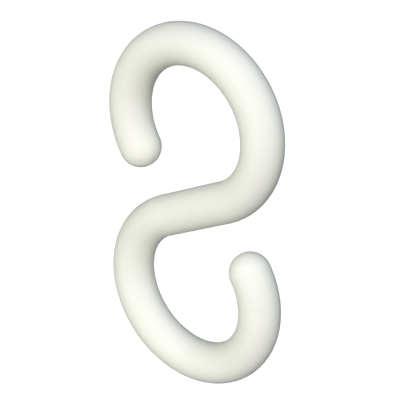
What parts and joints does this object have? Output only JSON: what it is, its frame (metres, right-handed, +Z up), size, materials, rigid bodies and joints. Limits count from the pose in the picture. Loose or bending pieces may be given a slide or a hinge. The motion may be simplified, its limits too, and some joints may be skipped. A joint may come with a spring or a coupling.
{
  "type": "cable hook",
  "caption": "One-piece plastic S-hook of round rod with a nearly closed loop at each end, for hanging and gathering cables.",
  "frame": {"origin": "centre of the upper eye, on the middle plane of the rod", "axes": "+Z up along the line through the centres of both eyes, as the hook hangs; +X across the hook in the plane of the S; +Y along the axis of both eyes, square to the S"},
  "size_m": [0.029, 0.006, 0.0548],
  "materials": {
    "hook_plastic": "matte, fine moulded texture, ivory white"
  },
  "bodies": {
    "root": {"hook": "hook_plastic"}
  },
  "joints": []
}
